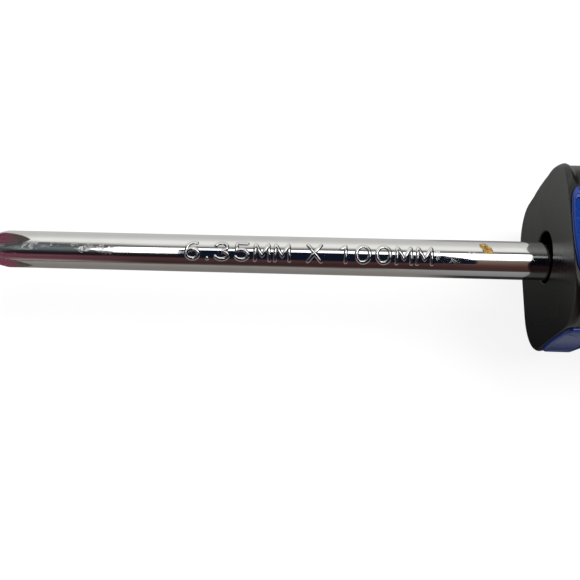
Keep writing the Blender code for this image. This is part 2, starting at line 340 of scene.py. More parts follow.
def flute_cutter():
    """The path of a V-shaped milling cutter: a straight, sloping root and a round run-out."""
    places = [(-MM, FLUTE_ROOT_AT_TIP - MM * math.tan(FLUTE_ROOT_ANGLE))]
    root = FLUTE_ROOT_AT_TIP + FLUTE_STRAIGHT * math.tan(FLUTE_ROOT_ANGLE)
    for step in range(FLUTE_RUNOUT_STEPS + 1):
        share = step / FLUTE_RUNOUT_STEPS
        slope = FLUTE_ROOT_ANGLE + (FLUTE_RUNOUT_ANGLE - FLUTE_ROOT_ANGLE) * share
        along = FLUTE_RUNOUT_RADIUS * (math.sin(slope) - math.sin(FLUTE_ROOT_ANGLE))
        rise = FLUTE_RUNOUT_RADIUS * (math.cos(FLUTE_ROOT_ANGLE) - math.cos(slope))
        places.append((FLUTE_STRAIGHT + along, root + rise))
    sections = []
    for along, depth in places:
        x = along - BLADE_EXPOSED
        half = (FLUTE_REACH - depth) * math.tan(FLUTE_HALF_ANGLE)
        sections.append([(x, 0, depth), (x, half, FLUTE_REACH), (x, -half, FLUTE_REACH)])
    return swept(sections)


def ear_plate(x):
    """A pair of pressed ears on the tang."""
    shape = bmesh.new()
    bmesh.ops.create_cube(shape, size=1)
    bmesh.ops.scale(shape, vec=(EAR_LENGTH, EAR_THICKNESS, 2 * EAR_REACH), verts=shape.verts)
    bmesh.ops.translate(shape, vec=(x, 0, 0), verts=shape.verts)
    ends = [edge for edge in shape.edges if abs(edge.verts[0].co.y - edge.verts[1].co.y) > MM]
    bmesh.ops.bevel(shape, geom=ends, offset=EAR_SLOPE, segments=3, profile=0.5,
                    affect="EDGES", material=-1)
    return shape


def make_blade(chrome):
    tip = -BLADE_EXPOSED
    shoulder = tip + NOSE_RADIUS * math.tan(NOSE_ANGLE)
    taper_end = shoulder + (BLADE_RADIUS - NOSE_RADIUS) / math.tan(WING_ANGLE)
    wear = TIP_WEAR
    shaft_start = tip + 15 * MM
    profile = [(tip, 0), (tip + 0.5 * MM, 0.5 * MM / math.tan(NOSE_ANGLE)),
               (shoulder - wear, NOSE_RADIUS - wear), (shoulder + wear, NOSE_RADIUS - wear / 3),
               (shoulder + 3 * wear, NOSE_RADIUS + 2.4 * wear * math.tan(WING_ANGLE)),
               (taper_end - 4 * wear, BLADE_RADIUS - 4 * wear * math.tan(WING_ANGLE)),
               (taper_end, BLADE_RADIUS - wear / 3), (taper_end + 4 * wear, BLADE_RADIUS)]
    profile += [(x, BLADE_RADIUS) for x in [shaft_start] + between(shaft_start, 0, 24)]
    profile += [(TANG_LENGTH - TANG_CHAMFER, BLADE_RADIUS), (TANG_LENGTH, TANG_END_RADIUS),
                (TANG_LENGTH, 0)]
    blade = loose(turned(profile, BLADE_SEGMENTS), "blade_steel")
    ears = [loose(ear_plate(x), "ears", turn) for x, turn in EAR_PLACES]
    carve(blade, ears, "UNION")
    flutes = [loose(flute_cutter(), "flute", FLUTE_TURN + quarter * math.pi / 2)
              for quarter in range(4)]
    carve(blade, flutes)
    return finish_piece(blade, chrome, "chrome", "blade", sharp=24)


# ---------------------------------------------------------------- size mark

def arc(middle, reach, start, end, steps=10):
    """Points of an ellipse's arc: angles in degrees, from the right and anticlockwise."""
    angles = [math.radians(start + (end - start) * step / steps) for step in range(steps + 1)]
    return [(middle[0] + reach[0] * math.cos(angle), middle[1] + reach[1] * math.sin(angle))
            for angle in angles]


# Single-stroke letters in a box 1 wide and 1 high
STROKES = {
    "6": [arc((0.5, 0.31), (0.38, 0.31), 180, -180, 16),
          [(0.12, 0.31), (0.16, 0.55)] + arc((0.62, 0.6), (0.46, 0.4), 165, 70, 7)],
    ".": [[(0.5, 0.02), (0.5, 0.06)]],
    "3": [arc((0.46, 0.745), (0.36, 0.255), 160, -90) + arc((0.46, 0.25), (0.4, 0.25), 90, -160)],
    "5": [[(0.82, 1), (0.2, 1), (0.15, 0.55)] + arc((0.46, 0.31), (0.4, 0.31), 115, -150, 12)],
    "X": [[(0.1, 0), (0.9, 1)], [(0.1, 1), (0.9, 0)]],
    "1": [[(0.28, 0.78), (0.55, 1), (0.55, 0)]],
    "0": [arc((0.5, 0.5), (0.4, 0.5), 90, 450, 22)],
    "M": [[(0.06, 0), (0.1, 1), (0.5, 0.25), (0.9, 1), (0.94, 0)]],
}
NARROW = {".": 0.5, "1": 0.8, " ": 0.6}
LETTER_FILL = 0.82                    # of the step from one letter to the next


def dense(path, step):
    """The path with points no further apart than a step."""
    points = [Vector(path[0])]
    for start, end in zip(path, path[1:]):
        start, end = Vector(start), Vector(end)
        count = max(1, math.ceil((end - start).length / step))
        points += [start.lerp(end, number / count) for number in range(1, count + 1)]
    return points


def on_shaft(point, depth):
    """A point of the flat drawing wrapped on the shaft, so far under its surface."""
    angle = MARK_ANGLE - point.y / BLADE_RADIUS
    outward = Vector((0, -math.sin(angle), math.cos(angle)))
    return Vector((point.x, 0, 0)) + outward * (BLADE_RADIUS - depth), outward


def stroke_sections(path):
    """Rings of a round bead along a path, with round ends."""
    beads = [(point, 1.0) for point in path]
    for end, nearby in ((0, 1), (-1, -2)):
        away = (path[end] - path[nearby]).normalized() * MARK_STROKE
        caps = [(path[end] + away * math.sin(angle), max(math.cos(angle), 0.05))
                for angle in (math.pi / 6, math.pi / 3, math.pi / 2)]
        beads = caps[::-1] + beads if end == 0 else beads + caps
    sections = []
    for number, (point, size) in enumerate(beads):
        before = beads[max(number - 1, 0)][0]
        after = beads[min(number + 1, len(beads) - 1)][0]
        place, outward = on_shaft(point, MARK_SUNK)
        along = (on_shaft(after, MARK_SUNK)[0] - on_shaft(before, MARK_SUNK)[0]).normalized()
        across = outward.cross(along)
        reach = MARK_STROKE * size
        turns = [TURN * side / BEAD_SIDES for side in range(BEAD_SIDES)]
        sections.append([place + reach * (across * math.cos(turn) + outward * math.sin(turn))
                         for turn in turns])
    return sections


def make_size_mark(chrome):
    widths = [NARROW.get(letter, 1.0) for letter in MARK_TEXT]
    unit = (MARK_END - MARK_START) / sum(widths)
    shape = bmesh.new()
    x = MARK_START
    for letter, width in zip(MARK_TEXT, widths):
        drawn = unit * LETTER_FILL
        left = x + (unit * width - drawn) / 2
        for path in STROKES.get(letter, []):
            flat = [(left + u * drawn, (v - 0.5) * MARK_HEIGHT) for u, v in path]
            bead = swept(stroke_sections(dense(flat, MARK_STEP)))
            mesh = bpy.data.meshes.new("bead")
            bead.to_mesh(mesh)
            bead.free()
            shape.from_mesh(mesh)
            bpy.data.meshes.remove(mesh)
        x += unit * width
    mark = loose(shape, "size_mark")
    return finish_piece(mark, chrome, "chrome", sharp=60)


# ---------------------------------------------------------------- handle

def handle_places():
    """Where the handle's sections lie, closer together where its surface turns."""
    front = [EDGE_BREAK * (1 - math.cos(math.pi / 2 * step / 4)) for step in range(5)]
    fillet = [NOSE_FILLET * (1 - math.cos(math.pi / 2 * step / 12)) for step in range(2, 13)]
    step_down = between(LIP_LENGTH, LIP_LENGTH + LIP_STEP, 6)
    bend_start, bend_end = FLANGE_END - BEND_HALF, FLANGE_END + BEND_HALF
    flange = between(NOSE_FILLET + 0.1 * MM, bend_start, 3)
    neck = between(bend_start, bend_end, 2) + between(bend_end, WAIST_AT, 14)
    grooves_start = GROOVE_FIRST - GROOVE_PITCH / 2
    grooves_end = GROOVE_FIRST + GROOVE_COUNT * GROOVE_PITCH - GROOVE_PITCH / 2
    swell = between(WAIST_AT, grooves_start, 5)
    swell += between(grooves_start, grooves_end, 12 * GROOVE_COUNT)
    swell += between(grooves_end, PALM_START, 6)
    palm = between(PALM_START, PALM_END, 6)
    tail = [PALM_END + (HANDLE_LENGTH - PALM_END) * math.sin(math.pi / 2 * step / 30)
            for step in range(1, 31)]
    return sorted(front + fillet + step_down + flange + neck + swell + palm + tail)


def handle_skin(start, end):
    places = [start]
    for x in handle_places():
        if places[-1] + 0.01 * MM < x < end - 0.01 * MM:
            places.append(x)
    places.append(end)
    return swept([square_section(x, apothem(x), corner_radius(x)) for x in places])


def square_bar(half, corner, start, end):
    return swept([square_section(x, half, corner) for x in (start, end)])


def inlay_blank(clearance, rise, moulding):
    """An inlay of the top flat: its outline, given a thickness, a round rim and the flat's curve."""
    start = INLAY_START - clearance
    end = INLAY_END + clearance
    places = [start + INLAY_FRONT_CORNER * (1 - math.cos(math.pi / 2 * step / 8)) for step in range(9)]
    neck = [FLANGE_END - BEND_HALF, FLANGE_END + BEND_HALF]
    neck += between(FLANGE_END + BEND_HALF, WAIST_AT, 14)
    bends = neck + between(WAIST_AT, PALM_START, 24) + [PALM_END] + between(PALM_END, end, 4)[:-1]
    rear = [end - INLAY_REAR_CORNER * (1 - math.sin(math.pi / 2 * step / 8)) for step in range(9)]
    places += [x for x in bends if x < rear[0] - 0.1 * MM] + rear
    edge = []
    for x in places:
        half = apothem(max(x, EDGE_BREAK)) - plain_corner(max(x, 0)) + INLAY_OVERHANG + clearance
        for radius, side, inside in ((INLAY_FRONT_CORNER, INLAY_FRONT_CORNER_SIDE, x - start),
                                     (INLAY_REAR_CORNER, INLAY_REAR_CORNER, end - x)):
            if inside < radius:
                half -= side * (1 - math.sqrt(max(1 - (1 - inside / radius) ** 2, 0)))
        edge.append((x, half / RIM_WIDEN))
    shape = bmesh.new()
    outline = [shape.verts.new((x, half, 0)) for x, half in edge]
    outline += [shape.verts.new((x, -half, 0)) for x, half in reversed(edge)]
    top = shape.faces.new(outline)
    depth = INLAY_THICKNESS + clearance + rise
    rim_edges = list(top.edges)
    made = bmesh.ops.extrude_face_region(shape, geom=[top], use_keep_orig=True)
    lower = [item for item in made["geom"] if isinstance(item, bmesh.types.BMVert)]
    bmesh.ops.translate(shape, vec=(0, 0, -depth), verts=lower)
    if moulding:
        bmesh.ops.bevel(shape, geom=rim_edges, offset=INLAY_RIM, segments=7, profile=0.5,
                        affect="EDGES", material=-1)
        field = max((face for face in shape.faces if face.calc_center_median().z > -0.01 * MM),
                    key=lambda face: face.calc_area())
        for width, step in ((STEP_LEAD, 0), (FIELD_STEP_WIDTH, FIELD_STEP), (STEP_LEAD, 0)):
            bmesh.ops.inset_region(shape, faces=[field], thickness=width, depth=-step)
    for axis, places in ((0, bends), (1, [y * MM for y in INLAY_CUTS])):
        direction = Vector((1 - axis, axis, 0))
        for level in places:
            bmesh.ops.bisect_plane(shape, geom=shape.verts[:] + shape.edges[:] + shape.faces[:],
                                   dist=0.000001, plane_co=direction * level, plane_no=direction)
    for corner in shape.verts:
        x, y, z = corner.co
        y *= RIM_WIDEN
        level = apothem(max(x, EDGE_BREAK)) + INLAY_PROUD + rise
        x += INLAY_BOW * (y / INLAY_BOW_HALF) ** 2 * (1 - smooth(x / INLAY_BOW_FADES))
        corner.co = (x, y, level + z)
    bmesh.ops.recalc_face_normals(shape, faces=shape.faces)
    return shape


def make_handle_body(black):
    body = loose(handle_skin(0, BODY_LENGTH), "handle_body_shell")
    recess = turned([(-MM, 0), (-MM, RECESS_RADIUS + RECESS_CHAMFER + MM),
                     (0, RECESS_RADIUS + RECESS_CHAMFER), (0.12 * MM, RECESS_RADIUS + 0.1 * MM),
                     (RECESS_CHAMFER, RECESS_RADIUS), (RECESS_DEPTH - 0.3 * MM, RECESS_RADIUS),
                     (RECESS_DEPTH, RECESS_RADIUS - 0.3 * MM), (RECESS_DEPTH, 0)], 98)
    recess.transform(Matrix.Translation((0, RECESS_OFFSET, 0)))
    bore = turned([(RECESS_DEPTH - MM, 0), (RECESS_DEPTH - MM, BORE_RADIUS),
                   (SOCKET_START + MM, BORE_RADIUS), (SOCKET_START + MM, 0)], 72)
    socket = square_bar(SOCKET_APOTHEM, SOCKET_CORNER, SOCKET_START, BODY_LENGTH + MM)
    cutters = [loose(recess, "recess"), loose(bore, "bore"), loose(socket, "socket")]
    for quarter in range(4):
        pocket = inlay_blank(SEAM, 1.5 * MM, False)
        cutters.append(loose(pocket, "pocket", quarter * math.pi / 2))
    carve(body, cutters)
    return finish_piece(body, black, "black_plastic", "handle_body")


def make_inlays(blue):
    for quarter, side in enumerate(("top", "left", "bottom", "right")):
        blank = inlay_blank(0, 0, True)
        inlay = loose(blank, f"inlay_{side}_moulding", quarter * math.pi / 2)
        finish_piece(inlay, blue, "blue_plastic", f"inlay_{side}")


def make_end_cap(blue):
    start = BODY_LENGTH + SEAM
    cap = loose(handle_skin(start, HANDLE_LENGTH), "end_cap_moulding")
    spigot = square_bar(SPIGOT_APOTHEM, SOCKET_CORNER, start - SPIGOT_LENGTH, start + MM)
    carve(cap, [loose(spigot, "spigot")], "UNION")
    floor = HANDLE_LENGTH - CROSS_HEIGHT - DISC_THICKNESS - SEAM
    pocket = turned([(floor, 0), (floor, DISC_RADIUS + SEAM),
                     (HANDLE_LENGTH + MM, DISC_RADIUS + SEAM), (HANDLE_LENGTH + MM, 0)], 96)
    carve(cap, [loose(pocket, "disc_pocket")])
    return finish_piece(cap, blue, "blue_plastic", "end_cap")


def cross_bar(turn, top):
    """One bar of the raised cross, with broken edges."""
    shape = bmesh.new()
    bmesh.ops.create_cube(shape, size=1)
    height = CROSS_HEIGHT + DISC_THICKNESS / 2
    bmesh.ops.scale(shape, vec=(height, CROSS_WIDTH, 2 * CROSS_REACH), verts=shape.verts)
    bmesh.ops.translate(shape, vec=(top - height / 2, 0, 0), verts=shape.verts)
    upper = [edge for edge in shape.edges
             if all(corner.co.x > top - 0.01 * MM for corner in edge.verts)]
    bmesh.ops.bevel(shape, geom=upper, offset=0.1 * MM, segments=3, profile=0.5,
                    affect="EDGES", material=-1)
    return loose(shape, "cross_bar", turn)


def make_end_disc(black):
    top = HANDLE_LENGTH - CROSS_HEIGHT
    profile = [(top - DISC_THICKNESS, 0), (top - DISC_THICKNESS, DISC_RADIUS)]
    for angle in (math.pi / 2 * step / 5 for step in range(6)):
        profile.append((top - DISC_RIM + DISC_RIM * math.sin(angle),
                        DISC_RADIUS - DISC_RIM + DISC_RIM * math.cos(angle)))
    profile.append((top, 0))
    disc = loose(turned(profile, 96), "end_disc_moulding")
    carve(disc, [cross_bar(turn, HANDLE_LENGTH) for turn in (0, math.pi / 2)], "UNION")
    return finish_piece(disc, black, "black_plastic", "end_disc")


# ---------------------------------------------------------------- finishes

def new_node(tree, kind, **settings):
    """A shader node with its settings, and its inputs where the key is an input's name."""
    made = tree.nodes.new(kind)
    for key, value in settings.items():
        if hasattr(made, key):
            setattr(made, key, value)
        else:
            made.inputs[key.replace("_", " ")].default_value = value
    return made


def maths(tree, operation, first, second=0.5, third=None):
    made = tree.nodes.new("ShaderNodeMath")
    made.operation = operation
    for socket, value in zip(made.inputs, (first, second, third)):
        if value is None:
            continue
        if isinstance(value, (int, float)):
            socket.default_value = value
        else:
            tree.links.new(value, socket)
    return made.outputs[0]


def times(tree, first, second):
    return maths(tree, "MULTIPLY", first, second)


def inverse(tree, value):
    return maths(tree, "SUBTRACT", 1.0, value)


def weighted(tree, base, *terms):
    """A base value plus each (value, share) pair."""
    for value, share in terms:
        base = maths(tree, "MULTIPLY_ADD", value, share, base)
    return base


def axes(tree, place):
    """The x, y and z of a place."""
    parts = tree.nodes.new("ShaderNodeSeparateXYZ")
    tree.links.new(place, parts.inputs[0])
    return parts.outputs[0], parts.outputs[1], parts.outputs[2]


def stretched(tree, place, scale, turn=0.0):
    """A place turned about z and scaled, for a texture that is longer one way."""
    mapping = new_node(tree, "ShaderNodeMapping")
    mapping.inputs["Rotation"].default_value = (0, 0, turn)
    mapping.inputs["Scale"].default_value = scale
    tree.links.new(place, mapping.inputs["Vector"])
    return mapping.outputs[0]


def noise_at(tree, place, scale=None, **settings):
    """Noise at a place, its scale from a socket where one is given."""
    noise = new_node(tree, "ShaderNodeTexNoise", **settings)
    tree.links.new(place, noise.inputs["Vector"])
    if scale:
        tree.links.new(scale, noise.inputs["Scale"])
    return noise.outputs[0]


def ramp(tree, value, stops):
    """Value to a grey or colour through a colour ramp of (place, colour) stops."""
    made = tree.nodes.new("ShaderNodeValToRGB")
    band = made.color_ramp
    while len(band.elements) < len(stops):
        band.elements.new(0.5)
    for element, (place, colour) in zip(band.elements, sorted(stops, key=lambda stop: stop[0])):
        element.position = place
        element.color = (*colour, 1) if isinstance(colour, tuple) else (colour, colour, colour, 1)
    tree.links.new(value, made.inputs[0])
    return made.outputs[0]


def eased(tree, value, low, high):
    """0 to 1 as the value passes from low to high."""
    made = tree.nodes.new("ShaderNodeMapRange")
    made.interpolation_type = "SMOOTHSTEP"
    tree.links.new(value, made.inputs["Value"])
    made.inputs["From Min"].default_value = low
    made.inputs["From Max"].default_value = high
    return made.outputs[0]


def mixed(tree, share, first, second):
    """A mix of two shaders."""
    made = tree.nodes.new("ShaderNodeMixShader")
    for socket, source in zip(made.inputs, (share, first, second)):
        tree.links.new(source, socket)
    return made.outputs[0]


def mix_colour(tree, factor, first, second):
    made = tree.nodes.new("ShaderNodeMix")
    made.data_type = "RGBA"
    for socket, value in ((made.inputs[0], factor), (made.inputs[6], first), (made.inputs[7], second)):
        if isinstance(value, tuple):
            socket.default_value = (*value, 1)
        elif isinstance(value, (int, float)):
            socket.default_value = value
        else:
            tree.links.new(value, socket)
    return made.outputs[2]


def effect_group(name, inputs, outputs):
    """An empty shader group with float sockets and its inner coordinates."""
    group = bpy.data.node_groups.new(name, "ShaderNodeTree")
    for label, value in inputs.items():
        socket = group.interface.new_socket(label, in_out="INPUT", socket_type="NodeSocketFloat")
        socket.default_value = value
    for label in outputs:
        group.interface.new_socket(label, in_out="OUTPUT", socket_type="NodeSocketFloat")
    entry = group.nodes.new("NodeGroupInput")
    result = group.nodes.new("NodeGroupOutput")
    place = group.nodes.new("ShaderNodeTexCoord").outputs["Object"]
    return group, entry, result, place


def scratch_group():
    """Hairline scratches in two directions: thin, broken bright lines on a mask."""
    group, entry, result, place = effect_group("hairlines", {"Scale": 400.0, "Spread": 0.5}, ("Lines",))
    lines = []
    for turn, stretch in ((0.5, 0.06), (-0.9, 0.09)):
        noise = noise_at(group, stretched(group, place, (stretch, 1, 1), turn),
                         entry.outputs["Scale"], Detail=2.0, Roughness=0.6, Distortion=0.2)
        lines.append(ramp(group, noise, ((0.60, 0.0), (0.66, 1.0), (0.69, 1.0), (0.74, 0.0))))
    both = maths(group, "MAXIMUM", lines[0], lines[1])
    patch = noise_at(group, place, Scale=160.0, Detail=3.0)
    cover = maths(group, "LESS_THAN", patch, entry.outputs["Spread"])
    group.links.new(times(group, both, cover), result.inputs["Lines"])
    return group


def smudge_group():
    """Soft clouds of handling marks."""
    group, entry, result, place = effect_group("smudges", {"Scale": 90.0, "Low": 0.4, "High": 0.7},
                                               ("Mask",))
    noise = noise_at(group, place, entry.outputs["Scale"], Detail=5.0, Roughness=0.6, Distortion=0.4)
    spread = new_node(group, "ShaderNodeMapRange")
    spread.interpolation_type = "SMOOTHSTEP"
    group.links.new(noise, spread.inputs["Value"])
    group.links.new(entry.outputs["Low"], spread.inputs["From Min"])
    group.links.new(entry.outputs["High"], spread.inputs["From Max"])
    group.links.new(spread.outputs[0], result.inputs["Mask"])
    return group


def dust_group():
    """Scattered specks of dust, each its own size."""
    group, entry, result, place = effect_group("dust", {"Scale": 900.0, "Size": 0.09}, ("Mask",))
    cells = new_node(group, "ShaderNodeTexVoronoi", Randomness=1.0)
    group.links.new(place, cells.inputs["Vector"])
    group.links.new(entry.outputs["Scale"], cells.inputs["Scale"])
    own = new_node(group, "ShaderNodeSeparateColor")
    group.links.new(cells.outputs["Color"], own.inputs[0])
    chosen = maths(group, "GREATER_THAN", own.outputs[0], 0.86)
    size = times(group, entry.outputs["Size"], maths(group, "ADD", own.outputs[1], 0.4))
    speck = maths(group, "LESS_THAN", cells.outputs["Distance"], size)
    group.links.new(times(group, speck, chosen), result.inputs["Mask"])
    return group


def pit_group():
    """Small ragged pits and short nicks, gathered in patches."""
    group, entry, result, place = effect_group("pits", {"Scale": 4200.0}, ("Mask",))
    noise = noise_at(group, stretched(group, place, (0.7, 1, 1)), entry.outputs["Scale"],
                     Detail=3.0, Roughness=0.7, Distortion=0.5)
    deep = ramp(group, noise, ((0.52, 0.0), (0.64, 1.0)))
    patch = noise_at(group, place, Scale=520.0, Detail=2.0)
    cover = ramp(group, patch, ((0.48, 0.0), (0.58, 1.0)))
    group.links.new(times(group, deep, cover), result.inputs["Mask"])
    return group


def peel_group():
    """The faint waviness of a moulded or plated skin."""
    group, entry, result, place = effect_group("skin_waves", {"Scale": 500.0}, ("Height",))
    noise = noise_at(group, place, entry.outputs["Scale"], Detail=1.0, Roughness=0.4)
    group.links.new(noise, result.inputs["Height"])
    return group


def use(tree, group, **values):
    made = tree.nodes.new("ShaderNodeGroup")
    made.node_tree = group
    for label, value in values.items():
        made.inputs[label].default_value = value
    return made.outputs


def bump(tree, height, distance, strength, under=None):
    made = new_node(tree, "ShaderNodeBump", Strength=strength, Distance=distance)
    tree.links.new(height, made.inputs["Height"])
    if under:
        tree.links.new(under, made.inputs["Normal"])
    return made.outputs[0]


def near_place(tree, x, angle, reach_x, reach_y):
    """1 in a patch of the shaft around a place: x on the axis, angle from straight up."""
    place = tree.nodes.new("ShaderNodeTexCoord").outputs["Object"]
    ragged = noise_at(tree, place, Scale=2100.0, Detail=5.0, Roughness=0.75)
    here_x, here_y, here_z = axes(tree, place)
    middle = (FACE_X + x, -BLADE_RADIUS * math.sin(angle))
    along = maths(tree, "DIVIDE", maths(tree, "SUBTRACT", here_x, middle[0]), reach_x)
    across = maths(tree, "DIVIDE", maths(tree, "SUBTRACT", here_y, middle[1]), reach_y)
    slanted = maths(tree, "ADD", along, times(tree, across, 0.55))
    squared = maths(tree, "ADD", times(tree, slanted, slanted), times(tree, across, across))
    spread = maths(tree, "ADD", squared, times(tree, ragged, 1.6))
    upper = maths(tree, "GREATER_THAN", here_z, AXIS_Z)
    return times(tree, maths(tree, "LESS_THAN", spread, 1.55), upper), ragged


def new_finish(name, **settings):
    finish = bpy.data.materials.new(name)
    finish.use_nodes = True
    tree = finish.node_tree
    shader = tree.nodes["Principled BSDF"]
    for label, value in settings.items():
        shader.inputs[label.replace("_", " ")].default_value = value
    return finish, tree, shader


# How pitted the plating is: place along the blade in mm, and share
WEAR = ((-104, 0.7), (-90, 0.9), (-84, 0.8), (-81, 0.2), (-78.5, 0.5), (-73, 0.5), (-70, 0.08),
        (-62, 0.03), (-22, 0.03), (-17.5, 0.6), (-13.5, 0.7), (-11.5, 0.05), (-3.2, 0.02),
        (-2.2, 0.12), (0, 0.1))
PIT_EDGES = ((0.9 * MM, -0.1 * MM), (-2.6 * MM, -1.7 * MM))   # across, where the pits fade in
SCRATCHES_FROM = -68 * MM
SCRATCHES_FULL = -82 * MM
GROUND_UNDER = 0.04 * MM              # steel this far under the round skin is ground, not plated bar
SPOT_X = -10.1 * MM                   # the middle of the lacquer spot, its angle and its size
SPOT_ANGLE = math.radians(-14)
SPOT_REACH = (0.98 * MM, 1.2 * MM)


def make_chrome(hairlines, smudges, waves, pits):
    """Bright plate over ground steel, with hairlines towards the tip and one spot of old lacquer."""
    finish, tree, shader = new_finish("chrome_plate", Metallic=1.0)
    place = tree.nodes.new("ShaderNodeTexCoord").outputs["Object"]
    x, y, z = axes(tree, place)
    height = maths(tree, "SUBTRACT", z, AXIS_Z)
    towards_tip = new_node(tree, "ShaderNodeMapRange")
    tree.links.new(x, towards_tip.inputs["Value"])
    towards_tip.inputs["From Min"].default_value = FACE_X + SCRATCHES_FROM
    towards_tip.inputs["From Max"].default_value = FACE_X + SCRATCHES_FULL
    away = maths(tree, "SQRT", maths(tree, "ADD", times(tree, y, y), times(tree, height, height)))
    ground = maths(tree, "LESS_THAN", away, BLADE_RADIUS - GROUND_UNDER)
    fine = use(tree, hairlines, Scale=2200.0, Spread=0.5)
    coarse = use(tree, hairlines, Scale=1300.0, Spread=0.62)
    worn = times(tree, coarse["Lines"], towards_tip.outputs[0])
    along = maths(tree, "MULTIPLY_ADD", x, 1 / BLADE_EXPOSED, 1 - FACE_X / BLADE_EXPOSED)
    amount = ramp(tree, along, [(1 + at * MM / BLADE_EXPOSED, share) for at, share in WEAR])
    upper = times(tree, *(eased(tree, y, *edges) for edges in PIT_EDGES))
    pitted = times(tree, use(tree, pits, Scale=4200.0)["Mask"], times(tree, amount, upper))
    pitted = times(tree, pitted, inverse(tree, ground))
    cloud = use(tree, smudges, Scale=220.0, Low=0.45, High=0.75)["Mask"]
    spot, grain = near_place(tree, SPOT_X, SPOT_ANGLE, *SPOT_REACH)
    metal = mix_colour(tree, times(tree, cloud, 0.4), (0.63, 0.63, 0.625), (0.55, 0.55, 0.55))
    lacquer = ramp(tree, grain, ((0.40, (0.07, 0.035, 0.006)), (0.5, (0.34, 0.20, 0.04)),
                                 (0.6, (0.50, 0.35, 0.12)), (0.72, (0.66, 0.52, 0.28))))
    tree.links.new(mix_colour(tree, spot, metal, lacquer), shader.inputs["Base Color"])
    rough = weighted(tree, 0.035, (cloud, 0.05), (fine["Lines"], 0.06), (worn, 0.2), (ground, 0.17),
                     (spot, 0.35))
    tree.links.new(rough, shader.inputs["Roughness"])
    tree.links.new(inverse(tree, times(tree, spot, 0.75)), shader.inputs["Metallic"])
    streaks = noise_at(tree, stretched(tree, place, (0.06, 1, 1)), Scale=2400.0, Detail=3.0,
                       Roughness=0.6)
    skin = bump(tree, use(tree, waves, Scale=420.0)["Height"], 0.00003, 0.25)
    wheel = bump(tree, times(tree, streaks, ground), 0.00006, 0.7, skin)
    scratched = bump(tree, inverse(tree, worn), 0.000012, 0.5, wheel)
    dented = bump(tree, inverse(tree, pitted), 0.000018, 0.9, scratched)
    raised = bump(tree, times(tree, spot, grain), 0.00006, 0.8, dented)
    tree.links.new(raised, shader.inputs["Normal"])
    return finish


def make_plastic(name, colour, dark, roughness, groups, dust_amount):
    """A glossy moulding with a faint skin, handling marks, hairlines and dust."""
    hairlines, smudges, waves, dust = groups
    finish, tree, shader = new_finish(name, IOR=1.5)
    cloud = use(tree, smudges, Scale=130.0, Low=0.4, High=0.75)["Mask"]
    lines = use(tree, hairlines, Scale=900.0, Spread=0.4)["Lines"]
    specks = use(tree, dust, Scale=900.0, Size=0.1)["Mask"]
    plain = mix_colour(tree, cloud, colour, dark)
    dusty = mix_colour(tree, times(tree, specks, dust_amount), plain, (0.35, 0.35, 0.33))
    tree.links.new(dusty, shader.inputs["Base Color"])
    rough = weighted(tree, roughness, (cloud, 0.07), (lines, 0.12), (specks, 0.5))
    tree.links.new(rough, shader.inputs["Roughness"])
    skin = bump(tree, use(tree, waves, Scale=650.0)["Height"], 0.00003, 0.2)
    tree.links.new(bump(tree, inverse(tree, lines), 0.00001, 0.3, skin), shader.inputs["Normal"])
    return finish


# ---------------------------------------------------------------- studio

def glow_material(name, tint, strength):
    glow = bpy.data.materials.new(name)
    glow.use_nodes = True
    tree = glow.node_tree
    tree.nodes.remove(tree.nodes["Principled BSDF"])
    light = new_node(tree, "ShaderNodeEmission", Strength=strength)
    light.inputs["Color"].default_value = (*tint, 1)
    tree.links.new(light.outputs[0], tree.nodes["Material Output"].inputs[0])
    glow.cycles.emission_sampling = "NONE"
    return glow, tree, light


def card(name, start, end, reach, glow):
    """A curved studio card around the blade's axis, seen only in reflections.

    Each end is (x, low angle, high angle), the angles from straight up and positive towards -Y."""
    shape = bmesh.new()
    steps = max(2, round(abs(start[2] - start[1]) / 3))

    def place(end, step):
        angle = math.radians(end[1] + (end[2] - end[1]) * step / steps)
        return Vector((end[0], -reach * math.sin(angle), AXIS_Z + reach * math.cos(angle)))

    row = [shape.verts.new(place(start, step)) for step in range(steps + 1)]
    edges = [shape.edges.new(pair) for pair in zip(row, row[1:])]
    bmesh.ops.extrude_edge_only(shape, edges=edges)
    for step, corner in enumerate(row):
        far = next(edge.other_vert(corner) for edge in corner.link_edges
                   if edge.other_vert(corner) not in row)
        far.co = place(end, step)
    mesh = bpy.data.meshes.new(name)
    shape.to_mesh(mesh)
    shape.free()
    mesh.materials.append(glow)
    item = add(name, mesh)
    for sight in ("camera", "diffuse", "transmission", "volume_scatter", "shadow"):
        setattr(item, "visible_" + sight, False)
    return item


DOME_REACH = 620 * MM
DOME_HALF = 3.0                       # half its length
DOME_LIMIT = 96                       # degrees from straight up, each way
